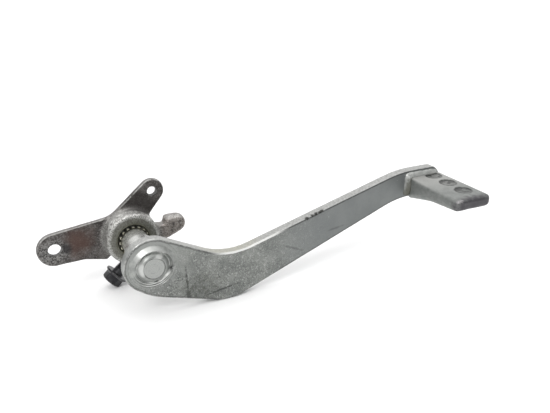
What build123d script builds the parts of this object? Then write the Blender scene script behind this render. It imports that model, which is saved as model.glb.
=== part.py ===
from build123d import *

import os
from math import cos, radians, sin, sqrt

# A motorcycle foot lever: a forged arm with a welded foot pad and a welded pivot shaft,
# and a forged two-armed crank that a pinch bolt clamps on the shaft's serrations.
# Millimetres. The origin is on the pivot axis where the bearing journal begins.
# +X runs from the pivot towards the foot pad, +Y runs inboard along the pivot shaft, +Z is up.

# how far a cutting shape runs past what it cuts, and how near a face or edge has to lie
# to the plane that it is picked by
CUT_MARGIN = 2.0
NEAR = 0.1

# ---- driving dimensions ----

# arm: a flat forged bar with a round boss at the pivot
ARM_INNER_Y = -3.0
ARM_THICKNESS = 7.0
ARM_OUTER_Y = ARM_INNER_Y - ARM_THICKNESS
ARM_EDGE_ROUND = 0.9
BOSS_R = 18.0
BOSS_TOP_ANGLE = 63.4          # where the bar's top edge leaves the boss
BOSS_BELLY_ANGLE = 235.0       # where the bar's belly leaves the boss
SPOT_FACE_R = 16.2
SPOT_FACE_DEPTH = 0.3
NOSE_X = 217.6                 # the bar's far end
NOSE_TOP_Z = 32.0
NOSE_BOTTOM_Z = 12.2

# pivot shaft
STUB_R = 9.0                   # the stub that passes through the boss
STUB_PROUD = 3.3               # how far the stub stands out of the boss
STUB_CHAMFER = 1.5
RELIEF_R = 9.6                 # the shaft is relieved beside the arm, where it is welded
JOURNAL_R = 10.0
JOURNAL_LENGTH = 19.0
NECK_R = 8.8
NECK_LENGTH = 11.5
SERRATION_LENGTH = 24.5
SHAFT_CHAMFER = 0.8
CENTRE_DRILL_R = 1.3
CENTRE_DRILL_DEPTH = 1.6

# serrations: the shaft's teeth and the crank bore's pockets
TEETH = 16
TOOTH_ROOT_R = 9.25
TOOTH_TIP_R = 9.95
TOOTH_ROOT_WIDTH = 2.1
TOOTH_TIP_WIDTH = 1.1
BORE_CREST_R = 9.3
POCKET_R = 10.0
FLANK_CLEARANCE = 0.07
TOOTH_EMBED = 0.4              # how deep a tooth's foot reaches into its core

# foot pad: a wedge that thins towards its tip
PAD_LENGTH = 51.5
PAD_NEAR_X = 190.4
PAD_ROOT_FAR_X = 218.4
PAD_TIP_FAR_X = 220.7
PAD_ROOT_TOP_Z = 27.0
PAD_TIP_TOP_Z = 26.2
PAD_ROOT_BOTTOM_Z = 10.7
PAD_TIP_BOTTOM_Z = 18.4
PAD_KNEE_LENGTH = 23.0         # where the underside flattens out
PAD_KNEE_Z = 16.2
PAD_TOP_ROUND = 2.8
PAD_BOTTOM_ROUND = 3.4
DIMPLE_X = 208.6
DIMPLE_FIRST = 4.4             # distance of the first dimple from the arm
DIMPLE_SPACING = 15.8
DIMPLE_COUNT = 3
DIMPLE_R = 6.0
DIMPLE_DEPTH = 1.2

# crank: hub, two flat arms, a lug and a split clamp
HUB_R = 18.0
HUB_FRONT_Y = 32.0
HUB_LENGTH = 22.3
HUB_REAR_R = 15.2              # the hub behind the plate is smaller
HUB_BACK_Y = HUB_FRONT_Y + HUB_LENGTH
HUB_RIM_ROUND = 1.5
HUB_FOOT_FILLET = 2.5          # where the hub stands on the plate
BORE_MOUTH_CHAMFER = 1.0
PLATE_FRONT_Y = 43.5
PLATE_THICKNESS = 4.0
PLATE_EDGE_ROUND = 0.7
PLATE_TOP_CORNER = (-11.4, 14.25)   # where the two arms' top edges would meet
PLATE_TOP_R = 15.0
PLATE_HIDDEN_CORNERS = [(12.0, 8.2), (-12.7, -12.7)]   # inside the hub
PLATE_HEEL = (-16.3, -16.0)    # the rod arm's lower corner beside the hub
PLATE_HEEL_R = 1.5
PLATE_BOTTOM_CORNER = (-31.0, -12.8)
PLATE_BOTTOM_R = 12.0
ROD_ARM_END = (-49.2, -2.0)    # the rod arm's hole, seen along the pivot axis
ROD_ARM_END_R = 11.3
ROD_HOLE_R = 4.25
SPRING_ARM_END = (17.5, 27.8)  # the spring arm's hole
SPRING_ARM_END_R = 8.4
SPRING_HOLE_R = 3.15
LUG_FRONT_Y = 34.0
LUG_THICKNESS = 10.0
LUG_END = (32.0, 4.3)
LUG_END_R = 6.0
LUG_INNER_X = 23.0
LUG_BOTTOM_Z = -6.2
LUG_TOP_Z = 10.2
LUG_NECK_FRONT_Y = 35.5
LUG_NECK_THICKNESS = 7.5
LUG_NECK = [(12.0, 5.4), (24.5, 5.4), (24.5, -5.5), (12.0, -11.0)]
LUG_CORNER_R = 1.5
LUG_EDGE_ROUND = 1.4
LUG_MARK = (33.4, 5.0)         # a shallow punched mark on the lug
LUG_MARK_R = 1.8
LUG_MARK_DEPTH = 0.6

# clamp and its pinch bolt
BOLT_ANGLE = 43.0              # the bolt's rise above horizontal, across the pivot axis
BOLT_OFFSET = 14.1             # the bolt axis to the pivot axis
BOLT_Y = 45.8
SLIT_WIDTH = 3.0
EAR_R = 8.5
NEAR_EAR_SEAT = 17.5           # the bolt head's seat to the middle of the slit
FAR_EAR_END = 14.0
EAR_HOLE_R = 4.04
THREAD_HOLE_R = 4.0
BOLT_R = 3.95
BOLT_LENGTH = 30.0
BOLT_BACKED_OUT = 9.6          # the gap under the head: the bolt is loose
HEAD_FLANGE_R = 8.3
HEAD_FLANGE_EDGE = 1.6
HEAD_HEIGHT = 8.0
HEAD_CONE_END = 3.0
HEAD_TOP_CHAMFER = 0.5
HEX_ACROSS_FLATS = 12.0
BOLT_TIP_CHAMFER = 0.8

# weld beads
SHAFT_WELD_R = 14.3
SHAFT_WELD_CREST_R = 11.7
SHAFT_WELD_HEIGHT = 2.4
BACK_WELD_LEG = 2.5
PAD_WELD_LEG = 3.2
PAD_TOP_WELD_LEG = 1.9
PAD_WELD_OVERHANG = 1.5
SIDE_WELD_HEIGHT = 13.0
SIDE_WELD_DROP = 0.5           # the side bead ends this far below the pad's top
SIDE_WELD_SPREAD = 6.4         # how far the side bead runs along the arm
SIDE_WELD_CROWN = (0.375, 0.5) # its middle, as shares of its spread and its leg
WELD_CROWN = 0.6               # a fillet bead's middle, as a share of its legs


def side_plane(y):
    """A sketch plane across the pivot axis: its x is X, its y is Z, and it extrudes outboard."""
    return Plane(origin=(0, y, 0), x_dir=(1, 0, 0), z_dir=(0, -1, 0))


def on_circle(centre, radius, angle):
    """The point of a circle at an angle in degrees."""
    turn = radians(angle)
    return (centre[0] + radius * cos(turn), centre[1] + radius * sin(turn))


def save(name, part):
    """Labels a finished piece and writes it."""
    part.label = name
    export_step(part, f"parts/{name}.step")


def tooth_half_width(radius):
    """Half the width of a serration tooth at a radius."""
    taper = (TOOTH_ROOT_WIDTH - TOOTH_TIP_WIDTH) / 2 / (TOOTH_TIP_R - TOOTH_ROOT_R)
    return TOOTH_TIP_WIDTH / 2 + (TOOTH_TIP_R - radius) * taper


def add_serrations(core_r, tip_r, clearance):
    """Adds a ring of straight-flanked teeth on a round core to the current sketch."""
    foot_r = core_r - TOOTH_EMBED
    foot = tooth_half_width(foot_r) + clearance
    tip = tooth_half_width(tip_r) + clearance
    Circle(core_r)
    with PolarLocations(0, TEETH):
        Polygon((foot_r, -foot), (tip_r, -tip), (tip_r, tip), (foot_r, foot), align=None)


os.makedirs("parts", exist_ok=True)

# ---- lever arm ----

boss_top = on_circle((0, 0), BOSS_R, BOSS_TOP_ANGLE)
boss_belly = on_circle((0, 0), BOSS_R, BOSS_BELLY_ANGLE)
arm_corners = [
    boss_top,
    (49.5, -4.6),
    (183.4, NOSE_TOP_Z),
    (NOSE_X, NOSE_TOP_Z),
    (NOSE_X, NOSE_BOTTOM_Z),
    (181.5, NOSE_BOTTOM_Z),
    (50.5, -37.1),
    (-0.9, -21.3),
    boss_belly,
]
arm_corner_radii = [45.0, 80.0, 8.5, 8.0, 60.0, 31.0, 40.0]

with BuildPart() as lever_arm:
    with BuildSketch(side_plane(ARM_INNER_Y)):
        with BuildLine():
            FilletPolyline(*arm_corners, radius=arm_corner_radii)
            ThreePointArc(boss_belly, (-BOSS_R, 0), boss_top)
        make_face()
    extrude(amount=ARM_THICKNESS)
    rims = lever_arm.faces().filter_by(Axis.Y).edges()
    fillet(rims, ARM_EDGE_ROUND)
    with BuildSketch(side_plane(ARM_OUTER_Y)):
        Circle(SPOT_FACE_R)
    extrude(amount=-SPOT_FACE_DEPTH, mode=Mode.SUBTRACT)
    with BuildSketch(side_plane(ARM_INNER_Y)):
        Circle(STUB_R)
    extrude(amount=ARM_THICKNESS, mode=Mode.SUBTRACT)
save("lever_arm", lever_arm.part)

# ---- foot pad ----

pad_tip_y = ARM_OUTER_Y - PAD_LENGTH
pad_knee_y = ARM_OUTER_Y - PAD_KNEE_LENGTH
pad_side = [
    (ARM_OUTER_Y, PAD_ROOT_TOP_Z),
    (pad_tip_y, PAD_TIP_TOP_Z),
    (pad_tip_y, PAD_TIP_BOTTOM_Z),
    (pad_knee_y, PAD_KNEE_Z),
    (ARM_OUTER_Y, PAD_ROOT_BOTTOM_Z),
]
pad_plan = [
    (PAD_NEAR_X, ARM_OUTER_Y),
    (PAD_NEAR_X, pad_tip_y),
    (PAD_TIP_FAR_X, pad_tip_y),
    (PAD_ROOT_FAR_X, ARM_OUTER_Y),
]

with BuildPart() as foot_pad:
    with BuildSketch(Plane.YZ.offset(PAD_NEAR_X - CUT_MARGIN)):
        with BuildLine():
            FilletPolyline(*pad_side, radius=[0, 0, 45.0])
            Line(pad_side[-1], pad_side[0])
        make_face()
    extrude(amount=PAD_TIP_FAR_X - PAD_NEAR_X + 2 * CUT_MARGIN)
    with BuildSketch(Plane.XY):
        with BuildLine():
            FilletPolyline(*pad_plan, radius=[4.0, 4.5])
            Line(pad_plan[-1], pad_plan[0])
        make_face()
    extrude(amount=NOSE_TOP_Z, mode=Mode.INTERSECT)
    free_edges = foot_pad.edges().filter_by_position(Axis.Y, pad_tip_y, ARM_OUTER_Y - NEAR)
    top_edges = free_edges.filter_by_position(Axis.Z, PAD_TIP_TOP_Z - NEAR, PAD_ROOT_TOP_Z)
    bottom_edges = free_edges.filter_by_position(Axis.Z, PAD_ROOT_BOTTOM_Z, PAD_TIP_BOTTOM_Z + NEAR)
    fillet(top_edges, PAD_TOP_ROUND)
    fillet(bottom_edges, PAD_BOTTOM_ROUND)
    dimple_sphere_r = (DIMPLE_R**2 + DIMPLE_DEPTH**2) / (2 * DIMPLE_DEPTH)
    pad_slope = (PAD_ROOT_TOP_Z - PAD_TIP_TOP_Z) / PAD_LENGTH
    for index in range(DIMPLE_COUNT):
        along = DIMPLE_FIRST + index * DIMPLE_SPACING
        top_z = PAD_ROOT_TOP_Z - pad_slope * along
        with Locations((DIMPLE_X, ARM_OUTER_Y - along, top_z + dimple_sphere_r - DIMPLE_DEPTH)):
            Sphere(dimple_sphere_r, mode=Mode.SUBTRACT)
save("foot_pad", foot_pad.part)

# ---- pivot shaft ----

stub_end_y = ARM_OUTER_Y - STUB_PROUD
neck_y = JOURNAL_LENGTH
serration_y = neck_y + NECK_LENGTH
shaft_end_y = serration_y + SERRATION_LENGTH
shaft_profile = [
    (0, stub_end_y + CENTRE_DRILL_DEPTH),
    (CENTRE_DRILL_R, stub_end_y),
    (STUB_R - STUB_CHAMFER, stub_end_y),
    (STUB_R, stub_end_y + STUB_CHAMFER),
    (STUB_R, ARM_INNER_Y),
    (RELIEF_R, ARM_INNER_Y),
    (RELIEF_R, 0),
    (JOURNAL_R, 0),
    (JOURNAL_R, neck_y - SHAFT_CHAMFER),
    (NECK_R, neck_y),
    (NECK_R, shaft_end_y - SHAFT_CHAMFER),
    (NECK_R - SHAFT_CHAMFER, shaft_end_y),
    (CENTRE_DRILL_R, shaft_end_y),
    (0, shaft_end_y - CENTRE_DRILL_DEPTH),
]

with BuildPart() as pivot_shaft:
    with BuildSketch(Plane.XY):
        with BuildLine():
            Polyline(*shaft_profile, close=True)
        make_face()
    revolve(axis=Axis.Y)
    with BuildSketch(side_plane(shaft_end_y)):
        add_serrations(TOOTH_ROOT_R, TOOTH_TIP_R, 0)
        Circle(TOOTH_ROOT_R - 1.5, mode=Mode.SUBTRACT)
    extrude(amount=SERRATION_LENGTH)
save("pivot_shaft", pivot_shaft.part)

# ---- brake crank ----

bolt_direction = Vector(cos(radians(BOLT_ANGLE)), 0, sin(radians(BOLT_ANGLE)))
bolt_side = Vector(sin(radians(BOLT_ANGLE)), 0, -cos(radians(BOLT_ANGLE)))


def bolt_plane(along):
    """A plane across the bolt axis: its x is +Y and its y points to the pivot axis."""
    centre = bolt_direction * along + bolt_side * BOLT_OFFSET + Vector(0, BOLT_Y, 0)
    return Plane(origin=centre, x_dir=(0, 1, 0), z_dir=bolt_direction)


plate_back_y = PLATE_FRONT_Y + PLATE_THICKNESS
rod_arm_top = on_circle(ROD_ARM_END, ROD_ARM_END_R, 97.7)
rod_arm_tip = on_circle(ROD_ARM_END, ROD_ARM_END_R, 185)
rod_arm_bottom = on_circle(ROD_ARM_END, ROD_ARM_END_R, 272)
spring_arm_left = on_circle(SPRING_ARM_END, SPRING_ARM_END_R, 130.4)
spring_arm_tip = on_circle(SPRING_ARM_END, SPRING_ARM_END_R, 45)
spring_arm_right = on_circle(SPRING_ARM_END, SPRING_ARM_END_R, -40.1)
lug_top = on_circle(LUG_END, LUG_END_R, 90)
lug_tip = on_circle(LUG_END, LUG_END_R, 10)
lug_bottom = on_circle(LUG_END, LUG_END_R, -66)

with BuildPart() as brake_crank:
    with BuildSketch(side_plane(plate_back_y)):
        with BuildLine():
            FilletPolyline(rod_arm_top, PLATE_TOP_CORNER, spring_arm_left, radius=[PLATE_TOP_R])
            ThreePointArc(spring_arm_left, spring_arm_tip, spring_arm_right)
            FilletPolyline(
                spring_arm_right,
                *PLATE_HIDDEN_CORNERS,
                PLATE_HEEL,
                PLATE_BOTTOM_CORNER,
                rod_arm_bottom,
                radius=[0, 0, PLATE_HEEL_R, PLATE_BOTTOM_R],
            )
            ThreePointArc(rod_arm_bottom, rod_arm_tip, rod_arm_top)
        make_face()
    extrude(amount=PLATE_THICKNESS)
    rims = brake_crank.faces().filter_by(Axis.Y).edges()
    fillet(rims, PLATE_EDGE_ROUND)
    with BuildSketch(side_plane(HUB_BACK_Y)):
        Circle(HUB_R)
    extrude(amount=HUB_LENGTH)
    round_edges = brake_crank.edges().filter_by(GeomType.CIRCLE)
    hub_foot = round_edges.filter_by(lambda edge: abs(edge.radius - HUB_R) < NEAR)
    hub_foot = hub_foot.filter_by_position(Axis.Y, PLATE_FRONT_Y - NEAR, PLATE_FRONT_Y + NEAR)
    fillet(hub_foot, HUB_FOOT_FILLET)
    with BuildSketch(side_plane(HUB_BACK_Y)):
        Circle(HUB_R + CUT_MARGIN)
        Circle(HUB_REAR_R, mode=Mode.SUBTRACT)
    extrude(amount=HUB_BACK_Y - plate_back_y, mode=Mode.SUBTRACT)
    hub_faces = brake_crank.faces().filter_by(Axis.Y).sort_by(Axis.Y)
    fillet(hub_faces[0].outer_wire().edges(), HUB_RIM_ROUND)
    fillet(hub_faces[-1].outer_wire().edges(), HUB_RIM_ROUND)
    # lug
    with BuildSketch(side_plane(LUG_FRONT_Y + LUG_THICKNESS)):
        with BuildLine():
            ThreePointArc(lug_top, lug_tip, lug_bottom)
            FilletPolyline(
                lug_bottom,
                (LUG_INNER_X, LUG_BOTTOM_Z),
                (LUG_INNER_X, LUG_TOP_Z),
                lug_top,
                radius=LUG_CORNER_R,
            )
        make_face()
    extrude(amount=LUG_THICKNESS)
    lug_faces = brake_crank.faces().filter_by(Axis.Y)
    lug_front = lug_faces.filter_by_position(Axis.Y, LUG_FRONT_Y - NEAR, LUG_FRONT_Y + NEAR)
    fillet(lug_front.edges(), LUG_EDGE_ROUND)
    with BuildSketch(side_plane(LUG_NECK_FRONT_Y + LUG_NECK_THICKNESS)):
        Polygon(*LUG_NECK, align=None)
    extrude(amount=LUG_NECK_THICKNESS)
    # clamp ears
    with BuildSketch(bolt_plane(-NEAR_EAR_SEAT)):
        Circle(EAR_R)
        with Locations((0, BOLT_OFFSET / 2)):
            Rectangle(2 * EAR_R, BOLT_OFFSET)
    extrude(amount=NEAR_EAR_SEAT + FAR_EAR_END)
    # bore, slit and holes
    with BuildSketch(side_plane(HUB_BACK_Y)):
        add_serrations(BORE_CREST_R, POCKET_R, FLANK_CLEARANCE)
    extrude(amount=HUB_LENGTH, mode=Mode.SUBTRACT)
    with BuildSketch(Plane.XY):
        for mouth_y, inward in ((HUB_FRONT_Y, 1), (HUB_BACK_Y, -1)):
            Polygon(
                (0, mouth_y),
                (POCKET_R + BORE_MOUTH_CHAMFER, mouth_y),
                (0, mouth_y + inward * (POCKET_R + BORE_MOUTH_CHAMFER)),
                align=None,
            )
    revolve(axis=Axis.Y, mode=Mode.SUBTRACT)
    with BuildSketch(bolt_plane(-SLIT_WIDTH / 2)):
        with Locations((0, -EAR_R)):
            Rectangle(4 * EAR_R, 2 * (EAR_R + BOLT_OFFSET), align=(Align.CENTER, Align.CENTER))
    extrude(amount=SLIT_WIDTH, mode=Mode.SUBTRACT)
    with BuildSketch(bolt_plane(-NEAR_EAR_SEAT)):
        Circle(EAR_HOLE_R)
    extrude(amount=NEAR_EAR_SEAT, mode=Mode.SUBTRACT)
    with BuildSketch(bolt_plane(0)):
        Circle(THREAD_HOLE_R)
    extrude(amount=FAR_EAR_END, mode=Mode.SUBTRACT)
    with BuildSketch(side_plane(plate_back_y)):
        with Locations(ROD_ARM_END):
            Circle(ROD_HOLE_R)
        with Locations(SPRING_ARM_END):
            Circle(SPRING_HOLE_R)
    extrude(amount=PLATE_THICKNESS, mode=Mode.SUBTRACT)
    with BuildSketch(side_plane(LUG_FRONT_Y + LUG_MARK_DEPTH)):
        with Locations(LUG_MARK):
            Circle(LUG_MARK_R)
    extrude(amount=LUG_MARK_DEPTH, mode=Mode.SUBTRACT)
save("brake_crank", brake_crank.part)

# ---- pinch bolt ----

head_seat = -(NEAR_EAR_SEAT + BOLT_BACKED_OUT)
hex_corner_r = HEX_ACROSS_FLATS / sqrt(3)
bolt_axis = Axis((0, 0, 0), bolt_direction)

with BuildPart() as pinch_bolt:
    with BuildSketch(bolt_plane(head_seat)):
        Circle(BOLT_R)
    extrude(amount=BOLT_LENGTH)
    chamfer(pinch_bolt.faces().sort_by(bolt_axis)[-1].edges(), BOLT_TIP_CHAMFER)
    with BuildSketch(bolt_plane(head_seat)):
        Circle(HEAD_FLANGE_R)
    extrude(amount=-HEAD_FLANGE_EDGE)
    with BuildSketch(bolt_plane(head_seat - HEAD_FLANGE_EDGE)):
        Circle(HEAD_FLANGE_R)
    with BuildSketch(bolt_plane(head_seat - HEAD_CONE_END)):
        Circle(hex_corner_r)
    loft()
    with BuildSketch(bolt_plane(head_seat)):
        RegularPolygon(hex_corner_r, 6)
    extrude(amount=-HEAD_HEIGHT)
    chamfer(pinch_bolt.faces().sort_by(bolt_axis)[0].edges(), HEAD_TOP_CHAMFER)
save("pinch_bolt", pinch_bolt.part)

# ---- weld beads ----

spot_y = ARM_OUTER_Y + SPOT_FACE_DEPTH
with BuildPart() as shaft_weld_outer:
    with BuildSketch(Plane.XY):
        with BuildLine():
            bead_foot = (STUB_R, spot_y)
            bead_wall = (STUB_R, stub_end_y + STUB_CHAMFER)
            bead_crest = (SHAFT_WELD_CREST_R, spot_y - SHAFT_WELD_HEIGHT)
            bead_toe = (SHAFT_WELD_R, spot_y)
            Polyline(bead_toe, bead_foot, bead_wall)
            ThreePointArc(bead_wall, bead_crest, bead_toe)
        make_face()
    revolve(axis=Axis.Y)
save("shaft_weld_outer", shaft_weld_outer.part)

with BuildPart() as shaft_weld_inner:
    with BuildSketch(Plane.XY):
        with BuildLine():
            back_corner = (RELIEF_R, ARM_INNER_Y)
            back_toe = (RELIEF_R + BACK_WELD_LEG, ARM_INNER_Y)
            back_top = (RELIEF_R, ARM_INNER_Y + BACK_WELD_LEG)
            back_bulge = BACK_WELD_LEG * WELD_CROWN
            Polyline(back_top, back_corner, back_toe)
            ThreePointArc(back_toe, (RELIEF_R + back_bulge, ARM_INNER_Y + back_bulge), back_top)
        make_face()
    revolve(axis=Axis.Y)
save("shaft_weld_inner", shaft_weld_inner.part)

with BuildPart() as pad_weld_upper:
    with BuildSketch(Plane.YZ.offset(PAD_NEAR_X - PAD_WELD_OVERHANG)):
        with BuildLine():
            top_corner = (ARM_OUTER_Y, PAD_ROOT_TOP_Z)
            top_toe = (ARM_OUTER_Y - PAD_TOP_WELD_LEG, PAD_ROOT_TOP_Z)
            top_wall = (ARM_OUTER_Y, PAD_ROOT_TOP_Z + PAD_WELD_LEG)
            top_bulge_y = ARM_OUTER_Y - PAD_TOP_WELD_LEG * WELD_CROWN
            top_bulge_z = PAD_ROOT_TOP_Z + PAD_WELD_LEG * WELD_CROWN
            Polyline(top_toe, top_corner, top_wall)
            ThreePointArc(top_wall, (top_bulge_y, top_bulge_z), top_toe)
        make_face()
    extrude(amount=NOSE_X - PAD_NEAR_X - PAD_WELD_OVERHANG)
save("pad_weld_upper", pad_weld_upper.part)

with BuildPart() as pad_weld_side:
    with BuildSketch(Plane.XY.offset(PAD_ROOT_TOP_Z - SIDE_WELD_DROP - SIDE_WELD_HEIGHT)):
        with BuildLine():
            side_corner = (PAD_NEAR_X, ARM_OUTER_Y)
            side_toe = (PAD_NEAR_X, ARM_OUTER_Y - PAD_WELD_LEG)
            side_wall = (PAD_NEAR_X - SIDE_WELD_SPREAD, ARM_OUTER_Y)
            side_bulge_x = PAD_NEAR_X - SIDE_WELD_SPREAD * SIDE_WELD_CROWN[0]
            side_bulge_y = ARM_OUTER_Y - PAD_WELD_LEG * SIDE_WELD_CROWN[1]
            Polyline(side_toe, side_corner, side_wall)
            ThreePointArc(side_wall, (side_bulge_x, side_bulge_y), side_toe)
        make_face()
    extrude(amount=SIDE_WELD_HEIGHT)
save("pad_weld_side", pad_weld_side.part)
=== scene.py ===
import math

import bmesh
import bpy
import numpy as np
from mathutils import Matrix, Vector, noise


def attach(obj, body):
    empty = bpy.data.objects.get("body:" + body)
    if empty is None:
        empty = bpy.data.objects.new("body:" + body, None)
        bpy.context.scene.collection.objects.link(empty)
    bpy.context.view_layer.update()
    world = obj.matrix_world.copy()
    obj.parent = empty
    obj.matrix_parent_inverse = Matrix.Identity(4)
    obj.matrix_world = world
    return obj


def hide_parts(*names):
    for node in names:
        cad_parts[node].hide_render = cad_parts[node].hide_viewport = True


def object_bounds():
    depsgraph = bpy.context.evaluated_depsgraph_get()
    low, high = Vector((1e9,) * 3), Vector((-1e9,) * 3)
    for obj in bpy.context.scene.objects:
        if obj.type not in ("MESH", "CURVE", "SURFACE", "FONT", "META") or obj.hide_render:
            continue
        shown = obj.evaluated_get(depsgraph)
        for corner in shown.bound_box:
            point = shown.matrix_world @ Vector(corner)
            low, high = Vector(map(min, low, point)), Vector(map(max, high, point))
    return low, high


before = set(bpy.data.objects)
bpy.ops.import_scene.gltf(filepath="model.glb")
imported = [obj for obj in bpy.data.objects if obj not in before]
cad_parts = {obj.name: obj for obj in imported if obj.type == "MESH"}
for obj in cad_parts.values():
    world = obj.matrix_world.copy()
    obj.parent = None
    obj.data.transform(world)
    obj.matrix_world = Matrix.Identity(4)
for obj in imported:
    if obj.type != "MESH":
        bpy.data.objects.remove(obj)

# A motorcycle foot lever: the looks built around its CAD frame. Blender works in metres; the
# sizes below are in millimetres and are multiplied by MM where they meet Blender.
# The origin is on the pivot axis, +X runs to the foot pad, +Y inboard along the shaft, +Z is up.

MM = 0.001
cad_low, cad_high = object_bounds()


# ---- camera, floor and light ----

SENSOR_WIDTH = 36.0
CAMERA_LENS = 43.27  # focal length on that sensor
CAMERA_AZIMUTH = -26.6
CAMERA_ELEVATION = 22.55
CAMERA_DISTANCE = 428.6
CAMERA_TARGET = (83.4, -10.0, 24.2)
CAMERA_NEAR = 10.0
CAMERA_FAR = 80000.0

FLOOR_HALF = 25000.0
FLOOR_TILT = 3.0  # the lever leans on its belly and on the bolt's head
FLOOR_TOUCH_Y = -6.5  # where the belly meets the floor
FLOOR_TOUCH_Z = -35.6
FLOOR_COLOUR = (0.93, 0.93, 0.93, 1.0)
FLOOR_ROUGHNESS = 0.9
FLOOR_SHINE = 0.1

SKY_DARK = 0.15  # the studio's brightness in front of the lever
SKY_BRIGHT = 1.1  # and at the big soft light above and behind it
SKY_LIGHT = (150.0, 52.0)  # azimuth and elevation of that light
SKY_LIGHT_CORE = 0.9  # facing it more than this is all equally bright
HORIZON_TOP = (0.13, 0.2)  # the white of the horizon fades out between these heights
# the suns: name, azimuth, elevation, strength, spread
SUNS = [("overhead", 0, 80, 0.95, 70), ("key", -42, 42, 1.6, 24)]


def direction(azimuth, elevation):
    """A unit vector from the object towards a viewer; azimuth 0 is -Y and 90 is +X."""
    a, e = math.radians(azimuth), math.radians(elevation)
    return Vector((math.sin(a) * math.cos(e), -math.cos(a) * math.cos(e), math.sin(e)))


def link(obj):
    bpy.context.scene.collection.objects.link(obj)
    return obj


def aim(obj, look):
    """Turns a camera or light to look along a direction."""
    obj.rotation_euler = look.to_track_quat("-Z", "Y").to_euler()


def smooth_step(tree, value, low, high, start, end):
    """The output of a node that runs smoothly from `start` at low to `end` at high."""
    made = tree.nodes.new("ShaderNodeMapRange")
    made.interpolation_type = "SMOOTHSTEP"
    tree.links.new(value, made.inputs["Value"])
    made.inputs["From Min"].default_value = low
    made.inputs["From Max"].default_value = high
    made.inputs["To Min"].default_value = start
    made.inputs["To Max"].default_value = end
    return made.outputs["Result"]


def add_camera():
    data = bpy.data.cameras.new("camera")
    data.sensor_width = SENSOR_WIDTH
    data.lens = CAMERA_LENS
    data.clip_start = CAMERA_NEAR * MM
    data.clip_end = CAMERA_FAR * MM
    camera = link(bpy.data.objects.new("camera", data))
    towards = direction(CAMERA_AZIMUTH, CAMERA_ELEVATION)
    camera.location = (Vector(CAMERA_TARGET) + towards * CAMERA_DISTANCE) * MM
    aim(camera, -towards)
    bpy.context.scene.camera = camera


def add_sun(name, azimuth, elevation, strength, spread):
    data = bpy.data.lights.new(name, "SUN")
    data.energy = strength
    data.angle = math.radians(spread)
    light = link(bpy.data.objects.new(name, data))
    aim(light, -direction(azimuth, elevation))


def add_world():
    """A grey studio with one broad soft light and a white horizon."""
    world = bpy.data.worlds.new("studio")
    world.use_nodes = True
    tree = world.node_tree
    coordinates = tree.nodes.new("ShaderNodeTexCoord")
    facing = tree.nodes.new("ShaderNodeVectorMath")
    facing.operation = "DOT_PRODUCT"
    facing.inputs[1].default_value = direction(*SKY_LIGHT)
    tree.links.new(coordinates.outputs["Generated"], facing.inputs[0])
    strength = smooth_step(tree, facing.outputs["Value"], 0.0, SKY_LIGHT_CORE, SKY_DARK, SKY_BRIGHT)
    height = tree.nodes.new("ShaderNodeSeparateXYZ")
    tree.links.new(coordinates.outputs["Generated"], height.inputs[0])
    horizon = smooth_step(tree, height.outputs["Z"], *HORIZON_TOP, 1.0, 0.0)
    brighter = tree.nodes.new("ShaderNodeMath")
    brighter.operation = "MAXIMUM"
    tree.links.new(strength, brighter.inputs[0])
    tree.links.new(horizon, brighter.inputs[1])
    background = tree.nodes["Background"]
    background.inputs["Color"].default_value = (1.0, 1.0, 1.0, 1.0)
    tree.links.new(brighter.outputs[0], background.inputs["Strength"])
    bpy.context.scene.world = world


def add_floor():
    slope = math.tan(math.radians(FLOOR_TILT))
    half = FLOOR_HALF * MM
    corners = []
    for x, y in ((-half, -half), (half, -half), (half, half), (-half, half)):
        corners.append((x, y, -y * slope))
    mesh = bpy.data.meshes.new("floor")
    mesh.from_pydata(corners, [], [(0, 1, 2, 3)])
    floor = link(bpy.data.objects.new("floor", mesh))
    floor.location.z = (FLOOR_TOUCH_Z + FLOOR_TOUCH_Y * slope) * MM
    material = bpy.data.materials.new("floor")
    material.use_nodes = True
    shader = material.node_tree.nodes["Principled BSDF"]
    shader.inputs["Base Color"].default_value = FLOOR_COLOUR
    shader.inputs["Roughness"].default_value = FLOOR_ROUGHNESS
    shader.inputs["Specular IOR Level"].default_value = FLOOR_SHINE
    mesh.materials.append(material)


add_camera()
add_floor()
add_world()
for sun in SUNS:
    add_sun(*sun)
bpy.context.scene.view_settings.view_transform = "Standard"


# ---- shape tools: arrays of points are in millimetres ----

MERGE_DISTANCE = 0.0001
ROUNDING_SHARES = (0.6, -0.62)  # in, then back out a little more, so that nothing shrinks
FRACTAL_ROUGHNESS = 0.9
FRACTAL_GAP = 2.1  # each octave's features are smaller by this factor


def points_of(mesh):
    """A mesh's vertices as an array in millimetres."""
    flat = np.empty(len(mesh.vertices) * 3)
    mesh.vertices.foreach_get("co", flat)
    return flat.reshape(-1, 3) / MM


def put_points(mesh, points):
    mesh.vertices.foreach_set("co", (points * MM).astype(np.float32).ravel())
    mesh.update()


def normals_of(mesh):
    flat = np.empty(len(mesh.vertices) * 3, np.float32)
    mesh.vertex_normals.foreach_get("vector", flat)
    return flat.reshape(-1, 3).astype(float)


class Neighbours:
    """Averages over each vertex's neighbours."""

    def __init__(self, mesh):
        flat = np.empty(len(mesh.edges) * 2, np.int32)
        mesh.edges.foreach_get("vertices", flat)
        pairs = flat.reshape(-1, 2)
        self.here = np.concatenate([pairs[:, 0], pairs[:, 1]])
        self.there = np.concatenate([pairs[:, 1], pairs[:, 0]])
        self.total = len(mesh.vertices)
        self.count = np.maximum(np.bincount(self.here, minlength=self.total), 1)

    def average(self, values):
        if values.ndim == 1:
            return np.bincount(self.here, values[self.there], self.total) / self.count
        return np.stack([self.average(values[:, k]) for k in range(values.shape[1])], axis=1)

    def relax(self, points, share, times=1):
        """Moves points by one share, or a share each, towards their neighbours' middle."""
        if isinstance(share, np.ndarray):
            share = share[:, None]
        for _ in range(times):
            points = points + share * (self.average(points) - points)
        return points


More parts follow.
